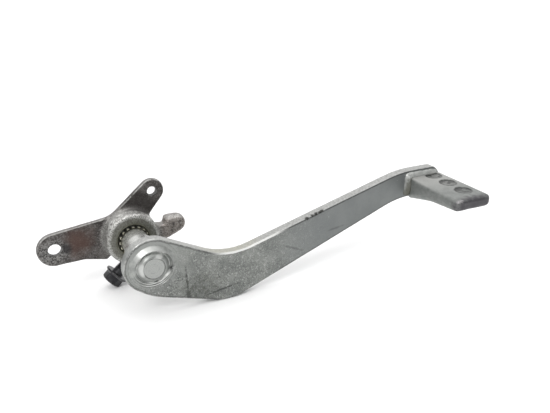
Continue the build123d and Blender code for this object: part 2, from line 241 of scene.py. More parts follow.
def fade(value, start, end):
    """Smooth step from 0 at start to 1 at end. Start may be the larger."""
    share = np.clip((value - start) / (end - start), 0.0, 1.0)
    return share * share * (3.0 - 2.0 * share)


def waves(points, height, size, octaves, seed):
    """Fractal noise of about a height up and down, with features of a size, at each point."""
    # each seed reads another part of the same noise
    shift = Vector((seed, seed * 0.37 + 11.0, -seed * 0.71))
    return height * np.array([
        noise.fractal(Vector(p) + shift, FRACTAL_ROUGHNESS, FRACTAL_GAP, octaves)
        for p in points / size
    ])


def pivot_radius(points):
    return np.hypot(points[:, 0], points[:, 2])


def dent(points, centre, radius, depth):
    """How deep a round dent is at each point."""
    distance = np.linalg.norm(points - np.array(centre), axis=1)
    return depth * np.exp(-((distance / radius) ** 2))


def groove(points, start, end, width, depth):
    """How deep a straight groove between two points is at each point."""
    start, end = np.array(start), np.array(end)
    run = end - start
    share = np.clip(((points - start) @ run) / (run @ run), 0.0, 1.0)
    distance = np.linalg.norm(points - start - share[:, None] * run, axis=1)
    return depth * np.exp(-((distance / width) ** 2))


def loop_faces(rows, sides, closed, flipped=False):
    """Four-sided faces between rows of points, where each row is a loop of sides. Closed, the
    last row joins the first; otherwise both ends are capped."""
    faces = []
    for i in range(rows if closed else rows - 1):
        here, there = i * sides, (i + 1) % rows * sides
        for j in range(sides):
            k = (j + 1) % sides
            if flipped:
                faces.append((here + j, there + j, there + k, here + k))
            else:
                faces.append((here + j, here + k, there + k, there + j))
    if not closed:
        faces.append(tuple(range(sides))[::-1])
        faces.append(tuple((rows - 1) * sides + j for j in range(sides)))
    return faces


def new_piece(name, points, faces):
    """A smooth-shaded object from points in millimetres."""
    mesh = bpy.data.meshes.new(name)
    mesh.from_pydata((points * MM).tolist(), [], faces)
    mesh.validate()
    mesh.shade_smooth()
    return link(bpy.data.objects.new(name, mesh))


def store_curvature(mesh, blur=2):
    """Keeps how convex the surface is at each vertex, for the materials' worn edges, painted highlights
    on crests and painted shade in hollows.
    """
    around = Neighbours(mesh)
    points = points_of(mesh)
    offset = points - around.average(points)
    bend = np.einsum("ij,ij->i", offset, normals_of(mesh))
    for _ in range(blur):
        bend = around.average(bend)
    layer = mesh.attributes.new("bend", "FLOAT", "POINT")
    layer.data.foreach_set("value", bend.astype(np.float32))


def forged_copy(node, name, voxel, rounding):
    """An evenly meshed copy of a CAD node, with its edges softened."""
    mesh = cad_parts[node].data.copy()
    joined = bmesh.new()
    joined.from_mesh(mesh)
    bmesh.ops.remove_doubles(joined, verts=joined.verts, dist=MERGE_DISTANCE * MM)
    joined.to_mesh(mesh)
    joined.free()
    rough = link(bpy.data.objects.new(name + "_rough", mesh))
    remesh = rough.modifiers.new("remesh", "REMESH")
    remesh.mode = "VOXEL"
    remesh.voxel_size = voxel * MM
    evaluated = rough.evaluated_get(bpy.context.evaluated_depsgraph_get())
    even = bpy.data.meshes.new_from_object(evaluated)
    even.name = name
    bpy.data.objects.remove(rough)
    piece = link(bpy.data.objects.new(name, even))
    around = Neighbours(even)
    points = points_of(even)
    for _ in range(rounding):
        for share in ROUNDING_SHARES:
            points = around.relax(points, share)
    put_points(even, points)
    even.shade_smooth()
    return piece


def press_in(piece, depth):
    """Moves each vertex of a piece inwards by its depth, and keeps it inside the CAD's box."""
    mesh = piece.data
    points = points_of(mesh) - normals_of(mesh) * depth[:, None]
    low, high = (np.array(corner) / MM for corner in (cad_low, cad_high))
    put_points(mesh, np.clip(points, low, high))


# ---- lever arm ----

# an uneven skin: its height, the size of its features, octaves, seed
ARM_VOXEL = 0.5
ARM_SKIN = (0.05, 16.0, 2, 3.0)
ARM_GRAIN = (0.018, 2.2, 2, 5.0)
ARM_SWELL = 0.05  # the forging's skin stands this far outside the CAD's
FRONT_Y = -10.0  # the arm's front face
EDGE_Y = -9.6  # just behind that face
# the folded crease and the tool mark low on the bend: start, end, width, depth
ARM_GROOVES = [
    ((38.0, FRONT_Y, -25.6), (58.0, FRONT_Y, -28.4), 1.0, 0.22),
    ((21.6, FRONT_Y, -14.0), (21.4, FRONT_Y, -30.0), 0.7, 0.07),
]
# chips on the top front edge: x, z, size
ARM_CHIPS = [(107.4, 11.1, 1.2), (112.0, 12.4, 1.0), (118.2, 14.1, 1.7)]
CHIP_DEPTH = 0.5


def make_arm():
    arm = forged_copy("lever_arm", "arm_forging", ARM_VOXEL, rounding=2)
    p = points_of(arm.data)
    grainy = fade(p[:, 0], 110, 40)
    depth = waves(p, *ARM_SKIN) + waves(p, *ARM_GRAIN) * grainy - ARM_SWELL
    for mark in ARM_GROOVES:
        depth += groove(p, *mark)
    for x, z, size in ARM_CHIPS:
        depth += dent(p, (x, EDGE_Y, z), size, CHIP_DEPTH)
    press_in(arm, depth)
    store_curvature(arm.data)
    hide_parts("lever_arm")
    return arm


# ---- foot pad ----

PAD_VOXEL = 0.45
PAD_SKIN = (0.07, 9.0, 2, 7.0)
PAD_GRAIN = (0.02, 2.0, 2, 2.0)
PAD_SWELL_LIMIT = 0.02  # the pad's skin may stand this far outside the CAD's
# worn hollows on the pad's tip: centre, radius, depth
PAD_HOLLOWS = [((193.5, -61.0, 22.0), 2.2, 0.4), ((203.0, -61.5, 21.5), 3.5, 0.45)]
PAD_TOP_Z = (23.5, 24.5)
DIMPLES = 3
DIMPLE_X = 208.6
DIMPLE_FIRST_Y = -14.4
DIMPLE_SPACING = 15.8
DIMPLE_R = 6.0
DIMPLE_Z = 26.5
RIM_GROOVE_DEPTH = 0.3  # a fine groove just inside each dimple's rim
RIM_GROOVE_IN = 0.5
RIM_GROOVE_WIDTH = 0.7


def make_pad():
    pad = forged_copy("foot_pad", "pad_casting", PAD_VOXEL, rounding=2)
    p = points_of(pad.data)
    depth = waves(p, *PAD_SKIN) + waves(p, *PAD_GRAIN)
    for hollow in PAD_HOLLOWS:
        depth += dent(p, *hollow)
    top = fade(p[:, 2], *PAD_TOP_Z)
    for index in range(DIMPLES):
        x, y = DIMPLE_X, DIMPLE_FIRST_Y - index * DIMPLE_SPACING
        rim = np.hypot(p[:, 0] - x, p[:, 1] - y) - DIMPLE_R
        depth += RIM_GROOVE_DEPTH * np.exp(-(((rim + RIM_GROOVE_IN) / RIM_GROOVE_WIDTH) ** 2)) * top
    press_in(pad, np.maximum(depth, -PAD_SWELL_LIMIT))
    store_curvature(pad.data)
    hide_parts("foot_pad")
    return pad


# ---- crank ----

CRANK_VOXEL = 0.34
CRANK_SKIN = (0.1, 11.0, 2, 1.0)
CRANK_GRAIN = (0.05, 2.4, 3, 9.0)
LUG_GRAIN = (0.09, 1.6, 2, 4.0)
BORE_GUARD_R = 11.4  # inside this radius the crank keeps its serrations as they are
BORE_EASE = 0.14  # the bore and the bolt's hole are opened by this much
CRANK_HOLES = [(-49.2, -2.0, 4.25), (17.5, 27.8, 3.15)]  # x, z, radius
CRANK_ARMS_Y = 45.0
HOLE_GUARD = (0.7, 2.2)  # the skin fades in between these distances from a hole
MARK = (33.4, 5.0)  # x and z of the round mark on the lug
MARK_R = 1.35
MARK_DEPTH = 0.45
MARK_WIDTH = 0.5
# these zones begin at the first number and are full at the second
MARK_Y = (39.0, 37.5)
LUG_X = (19.0, 23.0)
LUG_Z = (14.0, 11.0)
RIM_R = (13.2, 15.0)
RIM_Y = (38.5, 36.0)
SKIN_ROUNDING = 7  # how often the skin, the lug and the rim are softened
LUG_ROUNDING = 110
RIM_ROUNDING = 80
BOLT_ANGLE = 43.0  # the pinch bolt's rise above horizontal
BOLT_OFFSET = 14.1  # its axis to the pivot axis
BOLT_Y = 45.8
BOLT_HOLE_R = 4.04
EAR_SEAT = -17.5  # the face under the bolt's head, along the bolt
SEAT_ALONG = (EAR_SEAT + 3.0, EAR_SEAT + 1.0)
SEAT_R = (10.0, 9.0)


def about_bolt(points):
    """Each point's place along the bolt from the slit's middle, and its offset from the axis."""
    angle = math.radians(BOLT_ANGLE)
    ahead = np.array((math.cos(angle), 0.0, math.sin(angle)))
    centre = np.array((math.sin(angle) * BOLT_OFFSET, BOLT_Y, -math.cos(angle) * BOLT_OFFSET))
    along = (points - centre) @ ahead
    return along, points - centre - along[:, None] * ahead


def outside_hole(distance, hole_r):
    """0 at a hole's wall and 1 a little way outside it."""
    near, far = HOLE_GUARD
    return fade(distance, hole_r + near, hole_r + far)


def make_crank():
    crank = forged_copy("brake_crank", "crank_forging", CRANK_VOXEL, rounding=3)
    mesh = crank.data
    around = Neighbours(mesh)
    p = points_of(mesh)
    radius = pivot_radius(p)
    # the bore, the holes and the seat of the bolt's head stay true
    free = fade(radius, BORE_GUARD_R, BORE_GUARD_R + 1.5)
    for x, z, hole_r in CRANK_HOLES:
        free = free * outside_hole(np.hypot(p[:, 0] - x, p[:, 2] - z), hole_r)
    along, offset = about_bolt(p)
    bolt_r = np.linalg.norm(offset, axis=1)
    seat = fade(along, *SEAT_ALONG) * fade(bolt_r, *SEAT_R)
    free = free * outside_hole(bolt_r, BOLT_HOLE_R) * (1.0 - seat)
    # the rest is softened, most of all the lug and the hub's front rim
    p = around.relax(p, 0.5 * free, SKIN_ROUNDING)
    lug = fade(p[:, 0], *LUG_X) * fade(p[:, 2], *LUG_Z)
    p = around.relax(p, 0.6 * lug, LUG_ROUNDING)
    rim = fade(radius, *RIM_R) * fade(p[:, 1], *RIM_Y)
    p = around.relax(p, 0.6 * rim, RIM_ROUNDING)
    inside = fade(radius, BORE_GUARD_R, BORE_GUARD_R - 0.6)
    away = p * np.array([1.0, 0.0, 1.0]) / np.maximum(radius, 1.0)[:, None]
    p = p + away * (inside * BORE_EASE)[:, None]
    in_ear = fade(bolt_r, BOLT_HOLE_R + 0.6, BOLT_HOLE_R + 0.2)
    p = p + offset * (in_ear * BORE_EASE / np.maximum(bolt_r, 1.0))[:, None]
    put_points(mesh, p)
    depth = waves(p, *CRANK_SKIN) + waves(p, *CRANK_GRAIN) + lug * waves(p, *LUG_GRAIN)
    mark = np.hypot(p[:, 0] - MARK[0], p[:, 2] - MARK[1]) - MARK_R
    depth += MARK_DEPTH * np.exp(-((mark / MARK_WIDTH) ** 2)) * fade(p[:, 1], *MARK_Y)
    press_in(crank, depth * free)
    store_curvature(mesh)
    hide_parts("brake_crank")
    return crank


# ---- outer weld ring and the shaft's end inside it ----

SPOT_FACE_Y = -9.7  # the boss's flat under the bead
SUNK = 0.3  # how far these pieces' hidden sides lie inside the metal
RING_INNER_R = 6.4  # the bead starts on the stub's rounded shoulder
RING_OUTER_R = 15.6
RING_TURNS = 288
RING_STEPS = 54
RING_SOFTENING = 4
RING_LEAST = 0.02
RING_WOBBLE = 0.2
VALLEY_R = 9.8
# the collar round the stub's end: radius, height over the spot face
COLLAR = [
    (6.4, 3.45), (6.7, 3.72), (7.2, 3.8), (7.8, 3.6), (8.4, 3.1), (9.0, 2.35), (9.5, 1.6),
    (9.9, 1.0), (10.4, 0.55), (11.2, 0.25), (12.5, 0.02),
]
# the bead round the collar: angle, height, crest radius, toe radius
BEAD_ROUND = [
    (-170, 0.5, 11.2, 13.2), (-130, 0.6, 11.6, 14.4), (-90, 0.8, 12.0, 14.9), (-45, 1.3, 12.2, 15.3),
    (-10, 2.2, 12.2, 15.3), (30, 2.5, 11.7, 14.9), (70, 2.8, 11.1, 14.2), (100, 2.9, 10.9, 13.9),
    (135, 2.9, 10.9, 13.8), (155, 2.1, 11.0, 13.5), (172, 0.9, 11.1, 13.3),
]
# the bead's end, a ridge with a crater on each side: angle, radius, size, height
RING_BUMPS = [
    (-66, 10.0, 0.95, 0.75), (-58, 10.24, 0.95, 0.75), (-50, 10.48, 0.95, 0.75),
    (-42, 10.72, 0.95, 0.75), (-34, 10.96, 0.95, 0.75), (-27, 11.17, 0.95, 0.75),
    (-80, 10.0, 1.3, -0.5), (-16, 12.3, 1.4, -2.6),
]
# ripples left by the torch low on the ring
RIPPLE_HEIGHT = 0.34
RIPPLE_RATE = 4.2  # radians for each millimetre outwards
RIPPLE_DRIFT = 0.012  # millimetres outwards for each degree round

STUB_FACE_Y = -13.36
STUB_FACE_R = RING_INNER_R + 0.15
STUB_FACE_HOLE_R = 0.02
STUB_FACE_UNEVEN = 0.05
STUB_FACE_RINGS = [(0.035, 7.5, 0.0), (0.03, 3.1, 1.0)]  # height, radians per mm, start
STUB_FACE_STEPS = 40
STUB_FACE_TURNS = 96


def blob(turn, r, at_turn, at_r, size):
    """A round bump of height 1 on the bead's ring, at an angle in degrees and a radius."""
    across = math.radians((turn - at_turn + 180) % 360 - 180) * r
    return math.exp(-(across ** 2 + (r - at_r) ** 2) / size ** 2)


def ring_height(turn, r):
    """Height of the outer bead over the spot face, at an angle in degrees and a radius."""
    c, s = math.cos(math.radians(turn)), math.sin(math.radians(turn))
    wobble = RING_WOBBLE * noise.noise(Vector((c * 2.2, s * 2.2, 0.5)))
    radii, heights = zip(*COLLAR)
    height = float(np.interp(r, radii, heights))
    angles, tops, crests, toes = zip(*BEAD_ROUND)
    top, crest, toe = (np.interp(turn, angles, row, period=360) for row in (tops, crests, toes))
    bead_part = fade(r, VALLEY_R, crest + wobble) * min(max((toe - r) / (toe - crest), 0.0), 1.0)
    height = max(height, top * bead_part)
    low_side = max(0.0, -math.sin(math.radians(turn + 5)))
    ripple = math.sin((r + RIPPLE_DRIFT * (turn % 360 - 270)) * RIPPLE_RATE)
    height += RIPPLE_HEIGHT * low_side * ripple * fade(r, 10.0, 11.5) * fade(r, 15.4, 14.6)
    for at_turn, at_r, size, bump in RING_BUMPS:
        height += bump * blob(turn, r, at_turn, at_r, size)
    return max(height, RING_LEAST)


def make_outer_weld():
    points = []
    for i in range(RING_TURNS):
        turn = 360.0 * i / RING_TURNS
        c, s = math.cos(math.radians(turn)), math.sin(math.radians(turn))
        for j in range(RING_STEPS + 1):
            r = RING_INNER_R + (RING_OUTER_R - RING_INNER_R) * j / RING_STEPS
            points.append((r * c, SPOT_FACE_Y - ring_height(turn, r), r * s))
        for r in (RING_OUTER_R, RING_INNER_R):
            points.append((r * c, SPOT_FACE_Y + SUNK, r * s))
    points = np.array(points)
    faces = loop_faces(RING_TURNS, RING_STEPS + 3, closed=True, flipped=True)
    weld = new_piece("weld_outer_bead", points, faces)
    soft = Neighbours(weld.data).relax(points, 0.5, RING_SOFTENING)
    soft[:, 1] = np.minimum(soft[:, 1], SPOT_FACE_Y + SUNK)
    put_points(weld.data, soft)
    store_curvature(weld.data)
    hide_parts("shaft_weld_outer")
    return weld


def make_stub_face():
    """The shaft's end inside the bead: a turned disc with fine rings."""
    rings = []
    for j in range(STUB_FACE_STEPS + 1):
        r = STUB_FACE_HOLE_R + (STUB_FACE_R - STUB_FACE_HOLE_R) * j / STUB_FACE_STEPS
        lathe = sum(height * math.sin(r * rate + start) for height, rate, start in STUB_FACE_RINGS)
        rings.append((r, STUB_FACE_Y - lathe, STUB_FACE_UNEVEN))
    for r in (STUB_FACE_R, STUB_FACE_HOLE_R):
        rings.append((r, STUB_FACE_Y + SUNK, 0.0))
    points = []
    for r, y, uneven in rings:
        for i in range(STUB_FACE_TURNS):
            turn = 2 * math.pi * i / STUB_FACE_TURNS
            x, z = r * math.cos(turn), r * math.sin(turn)
            points.append((x, y - uneven * noise.noise(Vector((x, 3.0, z)) / 2.5), z))
    faces = loop_faces(len(rings), STUB_FACE_TURNS, closed=True)
    face = new_piece("shaft_stub_face", np.array(points), faces)
    store_curvature(face.data, 1)
    return face


# ---- the other weld beads ----

RINGS_PER_MM = 4.0
BEAD_SIDES = 24
BEAD_FLATNESS = 0.55
BEAD_RIPPLE = 0.05
LUMP_SIZE = 2.2
LEAST_TAPER = 0.02
ROUNDING_ERROR = 1e-9
# the fillet round the shaft behind the arm
INNER_BEAD_R = 10.3
INNER_BEAD_Y = -2.6
INNER_BEAD_STEPS = 72
INNER_BEAD_SPAN = 359.0
# the beads on the top and the near side of the pad's root, and which way they bulge
PAD_TOP_PATH = [
    (187.0, -9.6, 28.2), (190.6, -9.2, 28.5), (197.0, -8.9, 28.6), (206.0, -8.8, 28.6),
    (215.4, -8.8, 28.3),
]
PAD_TOP_CROWN = Vector((0, -1, 1)).normalized()
PAD_SIDE_PATH = [
    (188.6, -9.9, 28.8), (189.2, -10.2, 24.0), (189.0, -10.2, 18.0), (187.4, -9.8, 13.6),
]
PAD_SIDE_CROWN = Vector((-1, -1, 0)).normalized()
NO_CROWN = Vector((0, 0, 0))


def bead(name, path, radius, ripple_length, seed, lumps, crown):
    """A rippled weld bead along a path of points, half sunk in what it joins. Its section is
    flattened in the direction of its crown, a unit vector or NO_CROWN."""
    path = [Vector(p) for p in path]
    lengths = [0.0]
    for a, b in zip(path, path[1:]):
        lengths.append(lengths[-1] + (b - a).length)
    count = int(lengths[-1] * RINGS_PER_MM)
    points = []
    for i in range(count + 1):
        along = lengths[-1] * i / count
        k = max(n for n in range(len(path) - 1) if lengths[n] <= along + ROUNDING_ERROR)
        share = (along - lengths[k]) / (lengths[k + 1] - lengths[k])
        centre = path[k].lerp(path[k + 1], share)
        ahead = (path[k + 1] - path[k]).normalized()
        side = ahead.orthogonal().normalized()
        up = ahead.cross(side)
        end = min(along, lengths[-1] - along)
        taper = math.sqrt(max(1.0 - max(1.0 - end / radius, 0.0) ** 2, 0.0)) + LEAST_TAPER
        wave = 0.5 + 0.5 * math.cos(2 * math.pi * along / ripple_length)
        for j in range(BEAD_SIDES):
            turn = 2 * math.pi * j / BEAD_SIDES
            out = side * math.cos(turn) + up * math.sin(turn)
            out -= crown * out.dot(crown) * (1.0 - BEAD_FLATNESS)
            lump = lumps * noise.noise((centre + out * radius) / LUMP_SIZE + Vector((seed, 0, 0)))
            reach = radius * (1.0 - BEAD_RIPPLE + BEAD_RIPPLE * wave) + lump
            points.append(tuple(centre + out * taper * reach))
    piece = new_piece(name, np.array(points), loop_faces(count + 1, BEAD_SIDES, closed=False))
    store_curvature(piece.data, 1)
    return piece


def circle_path():
    """The path of the fillet round the shaft."""
    path = []
    for i in range(INNER_BEAD_STEPS + 1):
        turn = math.radians(INNER_BEAD_SPAN * i / INNER_BEAD_STEPS)
        path.append((INNER_BEAD_R * math.cos(turn), INNER_BEAD_Y, INNER_BEAD_R * math.sin(turn)))
    return path


def make_welds():
    outer = make_outer_weld()
    inner = bead(
        "weld_inner_bead", circle_path(),
        radius=1.75, ripple_length=1.9, seed=4.0, lumps=0.45, crown=NO_CROWN,
    )
    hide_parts("shaft_weld_inner")
    upper = bead(
        "weld_pad_top_bead", PAD_TOP_PATH,
        radius=3.8, ripple_length=5.5, seed=8.0, lumps=0.35, crown=PAD_TOP_CROWN,
    )
    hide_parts("pad_weld_upper")
    side = bead(
        "weld_pad_side_bead", PAD_SIDE_PATH,
        radius=3.5, ripple_length=5.5, seed=6.0, lumps=0.35, crown=PAD_SIDE_CROWN,
    )
    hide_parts("pad_weld_side")
    return [outer, inner, upper, side]


# ---- pinch bolt ----

HEAD_SEAT = -27.1  # the head's underside, along the bolt from the slit's middle
SHANK_LENGTH = 30.0
THREAD_CREST_R = 3.95
THREAD_ROOT_R = 3.35
THREAD_PITCH = 1.25
THREAD_ROWS = 10  # rows of points in each turn of the thread
THREAD_CUT = 1.35  # over 1, this flattens the thread's crests
THREAD_RUN_IN = 1.5
TIP_LENGTH = 1.2
TIP_SLOPE = 0.8
PLAIN_SHANK = 3.0
HEX_FLAT_R = 6.0
HEX_CORNER_R = 6.75
BOLT_SIDES = 96
# the head's outline up to its top: radius, height above the seat, share of the hexagon
HEAD_OUTLINE = [
    (3.9, 0, 0), (4.6, 0.25, 0), (5.2, 0.3, 0), (7.4, 0.05, 0), (7.9, 0.05, 0),
    (8.2, 0.3, 0), (8.25, 0.75, 0), (8.15, 1.25, 0), (7.75, 1.6, 0), (7.3, 1.85, 0.15),
    (6.95, 2.15, 0.55), (6.8, 2.5, 0.9), (6.8, 3, 1), (6.8, 4.6, 1), (6.8, 6.3, 1),
    (6.7, 6.8, 1), (6.35, 7.1, 0.9), (5.85, 7.35, 0.5), (5.4, 7.5, 0.1), (4.9, 7.55, 0),
    (4.4, 7.45, 0), (4, 7.2, 0), (3, 7.1, 0), (1.5, 7.07, 0),
]


def head_radius(r, share, turn):
    """Radius of the bolt's head at an angle, where a share of the hexagon shows."""
    within = math.radians((math.degrees(turn) % 60.0) - 30.0)
    hexagon = min(HEX_FLAT_R / math.cos(within), HEX_CORNER_R)
    return min(r, r + (hexagon - r) * share)


def thread_radius(along, turn):
    """Radius of the threaded shank at a distance from the seat and an angle."""
    phase = (along / THREAD_PITCH - turn / (2 * math.pi)) % 1.0
    height = min((1.0 - abs(2.0 * phase - 1.0)) * THREAD_CUT, 1.0)
    run_in = min(max((along - PLAIN_SHANK) / THREAD_RUN_IN, 0.0), 1.0)
    r = THREAD_CREST_R - (THREAD_CREST_R - THREAD_ROOT_R) * (1.0 - height) * run_in
    tip = max(along - (SHANK_LENGTH - TIP_LENGTH), 0.0)
    return min(r, THREAD_CREST_R - tip * TIP_SLOPE)


def make_bolt():
    angle = math.radians(BOLT_ANGLE)
    ahead = Vector((math.cos(angle), 0, math.sin(angle)))
    up = Vector((-math.sin(angle), 0, math.cos(angle)))
    across = Vector((0, 1, 0))
    centre = -up * BOLT_OFFSET + across * BOLT_Y
    turns = [2 * math.pi * j / BOLT_SIDES for j in range(BOLT_SIDES)]
    rows = []
    for r, height, share in reversed(HEAD_OUTLINE):
        rows.append((HEAD_SEAT - height, [head_radius(r, share, turn) for turn in turns]))
    steps = int(SHANK_LENGTH / THREAD_PITCH * THREAD_ROWS)
    for i in range(1, steps + 1):
        along = SHANK_LENGTH * i / steps
        rows.append((HEAD_SEAT + along, [thread_radius(along, turn) for turn in turns]))
    points = []
    for along, radii in rows:
        for turn, r in zip(turns, radii):
            out = across * math.cos(turn) + up * math.sin(turn)
            points.append(tuple(centre + ahead * along + out * r))
    bolt = new_piece("bolt_threaded", np.array(points), loop_faces(len(rows), BOLT_SIDES, closed=False))
    store_curvature(bolt.data, 0)
    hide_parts("pinch_bolt")
    return bolt


arm = make_arm()
pad = make_pad()
crank = make_crank()
welds = make_welds()
stub_face = make_stub_face()
bolt = make_bolt()


# ---- node materials ----

class Finish:
    """A material built from nodes, with every pattern placed in the frame's own millimetres."""

    def __init__(self, name, metallic):
        self.material = bpy.data.materials.new(name)
        self.material.use_nodes = True
        self.tree = self.material.node_tree
        self.shader = self.tree.nodes["Principled BSDF"]
        self.shader.inputs["Metallic"].default_value = metallic
        coordinates = self.node("ShaderNodeTexCoord")
        self.place = self.vector("SCALE", coordinates.outputs["Object"], factor=1.0 / MM)
        self.x, self.y, self.z = self.split(self.place)
        self.colour = None

    def node(self, kind, **settings):
        made = self.tree.nodes.new(kind)
        for key, value in settings.items():
            setattr(made, key, value)
        return made

    def feed(self, socket, value):
        """Links a value that is a socket, or sets a plain number, vector or colour."""
        if isinstance(value, bpy.types.NodeSocket):
            self.tree.links.new(value, socket)
        elif socket.type == "RGBA":
            socket.default_value = (*value, 1.0)
        else:
            socket.default_value = value

    def split(self, vector):
        parts = self.node("ShaderNodeSeparateXYZ")
        self.feed(parts.inputs[0], vector)
        return parts.outputs

    def vector(self, operation, a, b=None, factor=None):
        made = self.node("ShaderNodeVectorMath", operation=operation)
        self.feed(made.inputs[0], a)
        if b is not None:
            self.feed(made.inputs[1], b)
        if factor is not None:
            self.feed(made.inputs["Scale"], factor)
        return made.outputs["Value" if operation == "LENGTH" else "Vector"]

    def math(self, operation, a, b):
        made = self.node("ShaderNodeMath", operation=operation)
        self.feed(made.inputs[0], a)
        self.feed(made.inputs[1], b)
        return made.outputs[0]

    def times(self, first, *others):
        for other in others:
            first = self.math("MULTIPLY", first, other)
        return first

    def noise(self, size, detail=3.0, rough=0.55, stretch=(1.0, 1.0, 1.0), seed=0.0):
        """Fractal noise from 0 to 1 whose features are about `size` millimetres."""
        moved = self.vector("ADD", self.place, (seed, seed * 0.5, -seed))
        made = self.node("ShaderNodeTexNoise")
        self.feed(made.inputs["Vector"], self.vector("DIVIDE", moved, stretch))
        made.inputs["Scale"].default_value = 1.0 / size
        made.inputs["Detail"].default_value = detail
        made.inputs["Roughness"].default_value = rough
        return made.outputs["Fac"]

    def lathe_rings(self, rate, detail):
        """Noise from 0 to 1 in rings round the pivot axis, like the marks of a lathe."""
        made = self.node("ShaderNodeTexNoise", noise_dimensions="1D")
        self.feed(made.inputs["W"], self.times(self.radius(), rate))
        made.inputs["Detail"].default_value = detail
        return made.outputs["Fac"]

    def spots(self, spacing, radius):
        """1 at scattered round spots, 0 between them."""
        made = self.node("ShaderNodeTexVoronoi")
        self.feed(made.inputs["Vector"], self.place)
        made.inputs["Scale"].default_value = 1.0 / spacing
        return self.step(made.outputs["Distance"], radius / spacing, radius * 0.5 / spacing)

    def step(self, value, low, high, start=0.0, end=1.0):
        """Smooth step from `start` at low to `end` at high. Low may be the larger."""
        if low > high:
            low, high, start, end = high, low, end, start
        return smooth_step(self.tree, value, low, high, start, end)

    def mix(self, a, b, share):
        made = self.node("ShaderNodeMix", data_type="RGBA")
        self.feed(made.inputs[0], share)
        self.feed(made.inputs[6], a)
        self.feed(made.inputs[7], b)
        return made.outputs[2]

    def paint(self, colour, *shares):
        """Lays a colour over what is there, as far as the product of the shares."""
        self.colour = self.mix(self.colour, colour, self.times(*shares))

    def patch(self, centre, size, turn, ragged, grain, soft):
        """1 inside a ragged ellipsoid about a centre, 0 outside. Size is its half-widths."""
        moved = self.vector("SUBTRACT", self.place, centre)
        turned = self.node("ShaderNodeVectorRotate", rotation_type="Y_AXIS")
        self.feed(turned.inputs["Vector"], moved)
        turned.inputs["Angle"].default_value = math.radians(turn)
        reach = self.vector("LENGTH", self.vector("DIVIDE", turned.outputs[0], size))
        uneven = self.times(self.math("SUBTRACT", self.noise(grain), 0.5), 2.0 * ragged)
        return self.step(self.math("ADD", reach, uneven), 1.0 + soft, 1.0 - soft)

    def radius(self):
        """Distance from the pivot axis."""
        return self.vector("LENGTH", self.vector("MULTIPLY", self.place, (1.0, 0.0, 1.0)))

    def bend(self, low, high):
        """1 on convex edges, or in hollows when both bounds are negative, from the curvature kept with
        each mesh.
        """
        made = self.node("ShaderNodeAttribute", attribute_name="bend")
        return self.step(made.outputs["Fac"], low, high)

    def facing_up(self):
        """1 on surfaces that face up, 0 on upright ones."""
        normal = self.node("ShaderNodeTexCoord").outputs["Normal"]
        return self.step(self.split(normal)[2], 0.45, 0.9)

    def raised(self, height, strength, distance):
        """Bump from a height pattern; distance is in millimetres."""
        bump = self.node("ShaderNodeBump")
        bump.inputs["Strength"].default_value = strength
        bump.inputs["Distance"].default_value = distance * MM
        self.feed(bump.inputs["Height"], height)
        self.tree.links.new(bump.outputs["Normal"], self.shader.inputs["Normal"])

    def grain(self, fine, share, middle, strength, distance):
        """Bump from a share of the fine noise on top of the middle one."""
        self.raised(self.math("ADD", self.times(fine, share), middle), strength, distance)

    def finish(self, roughness):
        self.feed(self.shader.inputs["Base Color"], self.colour)
        self.feed(self.shader.inputs["Roughness"], roughness)
        return self.material


# Patches are placed by their centre, half-widths, turn about Y, raggedness, grain and softness.

# plating of the arm
PLATE_DARK = (0.155, 0.163, 0.155)
PLATE_LIGHT = (0.23, 0.24, 0.226)
BOSS_PALE = (0.3, 0.31, 0.298)
BAR_BLUE = (0.163, 0.174, 0.175)
SPECK_DARK = (0.055, 0.058, 0.052)
SPECK_SILVER = (0.55, 0.56, 0.53)
SPOT_SILVER = (0.42, 0.43, 0.42)
STAIN_BLACK = (0.03, 0.032, 0.03)
GRIME_GREEN = (0.08, 0.084, 0.072)
CREASE_SHADE = (0.035, 0.036, 0.034)
SCRATCH_GREY = (0.06, 0.063, 0.063)
LIT_TOP_GREY = (0.33, 0.33, 0.32)
LIT_TOP_WHITE = (0.5, 0.5, 0.485)
FILM_YELLOW = (0.42, 0.4, 0.29)
EDGE_SHADE_LINE = (0.05, 0.05, 0.048)
EDGE_WEAR_HIGHLIGHT = (0.85, 0.85, 0.83)
CHIP_BLACK = (0.018, 0.018, 0.016)
STUB_GREY = (0.28, 0.29, 0.278)
STUB_SILVER = (0.46, 0.47, 0.455)
RUBBED_SILVER = (0.5, 0.51, 0.49)
BOSS_PATCH = ((-4.0, FRONT_Y, 4.0), (19.0, 8.0, 20.0), 0.0, 0.3, 5.0, 0.4)
STAIN_RUN = ((21.3, FRONT_Y, -17.0), (0.65, 3.0, 9.5), 3.0, 1.9, 1.6, 0.6)
STAIN_FOOT = ((22.0, FRONT_Y, -26.0), (1.6, 3.0, 4.0), 8.0, 1.0, 1.6, 0.4)
BEND_GRIME = ((30.0, FRONT_Y, -22.0), (15.0, 5.0, 9.0), 8.0, 0.8, 4.0, 0.6)
BELLY_CREASE = ((46.0, FRONT_Y, -26.8), (10.5, 3.0, 0.55), 9.0, 0.9, 2.2, 0.6)
BEND_FILM = ((48.0, -6.0, -3.0), (24.0, 6.0, 8.0), 0.0, 0.5, 6.0, 0.6)
SCRATCHES = [(130.0, -0.6, 5.5, 8.0), (97.0, -8.6, 7.0, -24.0)]  # x, z, half-length, turn
# bare steel where the edge is chipped: x, z, half-length
CHIP_PATCHES = [(107.6, 11.1, 1.4), (111.8, 12.3, 1.2), (114.6, 13.0, 1.2), (118.2, 14.0, 2.2)]


